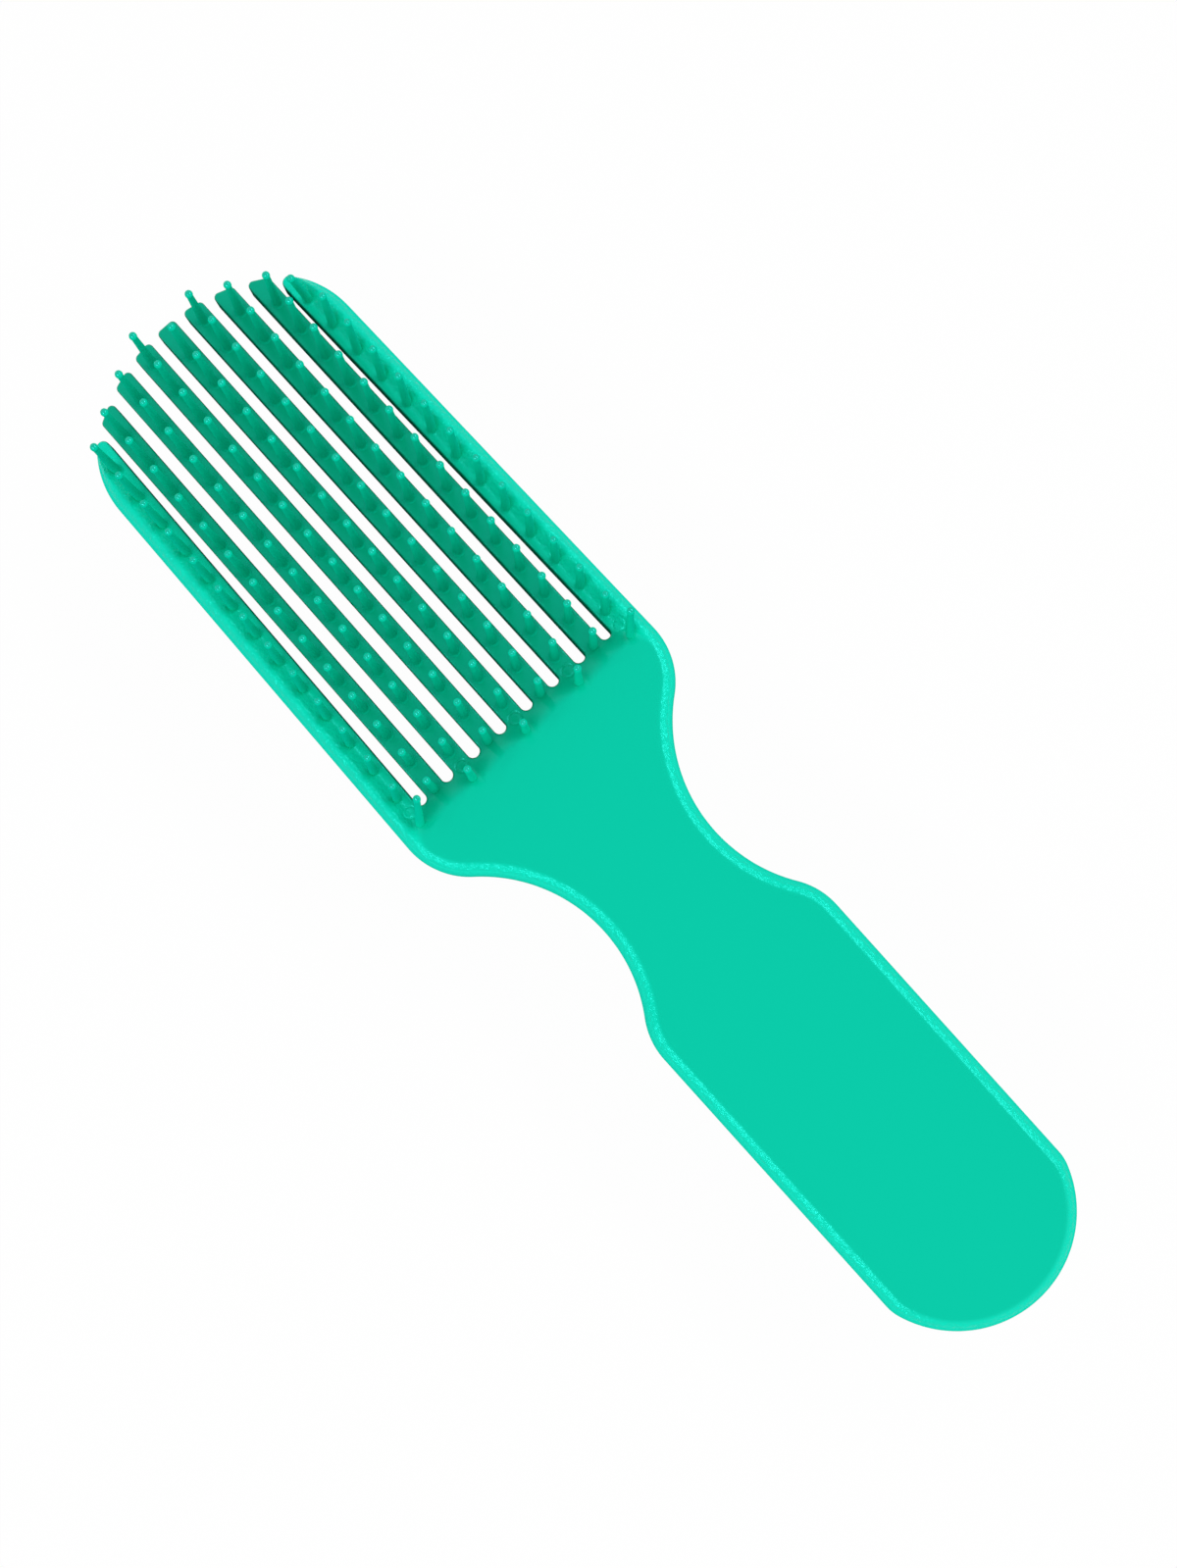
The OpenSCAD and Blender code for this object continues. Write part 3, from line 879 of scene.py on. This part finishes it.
def plate_plastic(name, lit_edge_green, roughness, specular):
    """The handle's and the arms' plastic: painted shade (a darker colour) in the tooth field, and painted
    light (a lighter colour) and grain at thin edges.
    """
    material, shader = plastic(name, roughness, specular)
    nodes, links = material.node_tree.nodes, material.node_tree.links
    # Painted shade in the tooth field, then painted light at the thin edges
    field_shaded = blend_colour(material, "field_shade_share", PALM_GREEN, FIELD_SHADE_GREEN)
    links.new(blend_colour(material, "edge_light_and_grain_share", field_shaded, lit_edge_green), shader.inputs["Base Color"])
    coordinates = nodes.new("ShaderNodeTexCoord")
    noise = nodes.new("ShaderNodeTexNoise")
    noise.inputs["Scale"].default_value = 1 / (GRAIN_SIZE * MM)
    noise.inputs["Detail"].default_value = GRAIN_DETAIL
    bump = nodes.new("ShaderNodeBump")
    bump.inputs["Distance"].default_value = GRAIN_DEPTH * MM
    edge = nodes.new("ShaderNodeAttribute")
    edge.attribute_name = "edge_light_and_grain_share"
    links.new(edge.outputs["Fac"], bump.inputs["Strength"])
    links.new(coordinates.outputs["Object"], noise.inputs["Vector"])
    links.new(noise.outputs["Fac"], bump.inputs["Height"])
    links.new(bump.outputs["Normal"], shader.inputs["Normal"])
    return material


def wall_plastic():
    """The slots' walls: matt, and darker than the faces with painted shade."""
    material, shader = plastic("comb_green_walls", WALL_ROUGHNESS, 0)
    shader.inputs["Base Color"].default_value = (*WALL_SHADE_GREEN, 1)
    return material


def shaft_plastic():
    """The pins' shafts: satin, with painted light and shade: darker at the feet, lighter towards the tips
    and where they stand on the palm's slope.
    """
    material, shader = plastic("comb_green_shafts", SHAFT_ROUGHNESS, 0)
    colour = blend_colour(material, "light_share", SHAFT_SHADED_GREEN, SHAFT_LIT_GREEN)
    material.node_tree.links.new(colour, shader.inputs["Base Color"])
    return material


def cap_plastic():
    """The top of the pins' round tips: smooth, with a small bright highlight from each softbox."""
    material, shader = plastic("comb_green_tips", CAP_ROUGHNESS, CAP_SPECULAR)
    shader.inputs["IOR"].default_value = CAP_IOR
    shader.inputs["Base Color"].default_value = (*CAP_GREEN, 1)
    return material


# Light, floor and camera, in metres

SOFTBOX_WATTS = 3.3
SOFTBOX_LENGTH = 0.9
SOFTBOX_WIDTH = 0.14
SOFTBOX_REACH = 1.1
SOFTBOX_TILT = math.radians(40)
SOFTBOX_SIDES = {"softbox_right": math.radians(-100), "softbox_left": math.radians(102)}
FILL_AT_HORIZON = 0.85
FILL_OVERHEAD = 0.47
WHITE = (1, 1, 1, 1)
GLOW_SHARE = 0.97
FLOOR_SIZE = 6
FLOOR_DROP = 0.03
FLOOR_ROUGHNESS = 0.9
FLOOR_SEEN = (0.9, 0.9, 0.9, 1)
FLOOR_BOUNCE = (0.25, 0.25, 0.25, 1)
SENSOR_WIDTH = 36
LENS = 34.93
VIEW_SHIFT = (-0.0212, 0.1057)
CLIP_START = 0.01
CAMERA_PLACE = (-0.0208, 0.0133, 0.277)
CAMERA_TURN = math.radians(-131.98)


def area_light(name, where, size, watts):
    """A softbox that faces the middle of the comb."""
    lamp = bpy.data.lights.new(name, "AREA")
    lamp.shape = "RECTANGLE"
    lamp.size, lamp.size_y = size
    lamp.energy = watts
    holder = bpy.data.objects.new(name, lamp)
    bpy.context.scene.collection.objects.link(holder)
    holder.location = where
    holder.rotation_mode = "QUATERNION"
    holder.rotation_quaternion = (-holder.location).to_track_quat("-Z", "Y")


def seen_ray(nodes, links):
    """1 for the rays that show a surface as it is: from the camera, in reflections and through glass."""
    path = nodes.new("ShaderNodeLightPath")
    seen = path.outputs["Is Camera Ray"]
    for name in ("Is Glossy Ray", "Is Transmission Ray"):
        larger = nodes.new("ShaderNodeMath")
        larger.operation = "MAXIMUM"
        links.new(seen, larger.inputs[0])
        links.new(path.outputs[name], larger.inputs[1])
        seen = larger.outputs[0]
    return seen


def lights():
    """Two softboxes on either side of the comb and a white surround, brighter at the horizon."""
    out, up = SOFTBOX_REACH * math.sin(SOFTBOX_TILT), SOFTBOX_REACH * math.cos(SOFTBOX_TILT)
    for name, side in SOFTBOX_SIDES.items():
        where = (out * math.cos(side), out * math.sin(side), up)
        area_light(name, where, (SOFTBOX_LENGTH, SOFTBOX_WIDTH), SOFTBOX_WATTS)
    world = bpy.data.worlds.new("surround")
    bpy.context.scene.world = world
    world.use_nodes = True
    nodes, links = world.node_tree.nodes, world.node_tree.links
    backdrop = nodes["Background"]
    backdrop.inputs["Color"].default_value = WHITE
    backdrop.inputs["Strength"].default_value = 1
    fill = nodes.new("ShaderNodeBackground")
    fill.inputs["Color"].default_value = WHITE
    direction = nodes.new("ShaderNodeTexCoord")
    axes = nodes.new("ShaderNodeSeparateXYZ")
    height = nodes.new("ShaderNodeMapRange")
    height.inputs["To Min"].default_value = FILL_AT_HORIZON
    height.inputs["To Max"].default_value = FILL_OVERHEAD
    links.new(direction.outputs["Generated"], axes.inputs["Vector"])
    links.new(axes.outputs["Z"], height.inputs["Value"])
    links.new(height.outputs["Result"], fill.inputs["Strength"])
    mix = nodes.new("ShaderNodeMixShader")
    links.new(seen_ray(nodes, links), mix.inputs[0])
    links.new(fill.outputs[0], mix.inputs[1])
    links.new(backdrop.outputs[0], mix.inputs[2])
    links.new(mix.outputs[0], nodes["World Output"].inputs["Surface"])


def floor():
    """A floor that shows as the photograph's white ground with a faint shadow, and throws little light up.

    It lies below the reach of the arms when they are bent down."""
    bpy.ops.mesh.primitive_plane_add(size=FLOOR_SIZE, location=(0, 0, -FLOOR_DROP))
    plane = bpy.context.object
    plane.name = "floor"
    material = bpy.data.materials.new("white_ground")
    material.use_nodes = True
    nodes, links = material.node_tree.nodes, material.node_tree.links
    shader = nodes["Principled BSDF"]
    shader.inputs["Roughness"].default_value = FLOOR_ROUGHNESS
    shader.inputs["Specular IOR Level"].default_value = 0
    glow = nodes.new("ShaderNodeEmission")
    glow.inputs["Color"].default_value = WHITE
    glow.inputs["Strength"].default_value = 1
    seen = seen_ray(nodes, links)
    share = nodes.new("ShaderNodeMath")
    share.operation = "MULTIPLY"
    share.inputs[1].default_value = GLOW_SHARE
    colour = nodes.new("ShaderNodeMix")
    colour.data_type = "RGBA"
    colour.inputs["A"].default_value = FLOOR_BOUNCE
    colour.inputs["B"].default_value = FLOOR_SEEN
    links.new(seen, colour.inputs["Factor"])
    links.new(colour.outputs["Result"], shader.inputs["Base Color"])
    mix = nodes.new("ShaderNodeMixShader")
    links.new(seen, share.inputs[0])
    links.new(share.outputs[0], mix.inputs[0])
    links.new(shader.outputs[0], mix.inputs[1])
    links.new(glow.outputs[0], mix.inputs[2])
    links.new(mix.outputs[0], nodes["Material Output"].inputs["Surface"])
    plane.data.materials.append(material)


def camera():
    """The photograph's camera: straight down on the comb, turned so that the comb lies on a slant."""
    view = bpy.data.cameras.new("camera")
    view.sensor_width = SENSOR_WIDTH
    view.lens = LENS
    view.shift_x, view.shift_y = VIEW_SHIFT
    view.clip_start = CLIP_START
    holder = bpy.data.objects.new("camera", view)
    bpy.context.scene.collection.objects.link(holder)
    holder.location = CAMERA_PLACE
    holder.rotation_euler = (0, 0, CAMERA_TURN)
    bpy.context.scene.camera = holder


camera()
plates = [handle_skin()] + [rail_skin(row) for row in RAILS]
plates += [arm_skin(row) for row in range(2, LAST_ROW)]
teeth = [root_pins()] + [row_pins(row) for row in range(1, LAST_ROW + 1)]
face_plastic = plate_plastic("comb_green", EDGE_LIT_GREEN, FACE_ROUGHNESS, FACE_SPECULAR)
# The rims' material: matt, with a lighter colour at the edges that is painted light
rim_plastic = plate_plastic("comb_green_rims", RIM_LIT_GREEN, RIM_ROUGHNESS, 0)
plate_greens = (face_plastic, wall_plastic(), rim_plastic)
tooth_greens = (shaft_plastic(), cap_plastic())
for pieces, greens in ((plates, plate_greens), (teeth, tooth_greens)):
    for piece in pieces:
        for green in greens:
            piece.data.materials.append(green)
lights()
floor()

bpy.context.scene.view_settings.view_transform = "Standard"
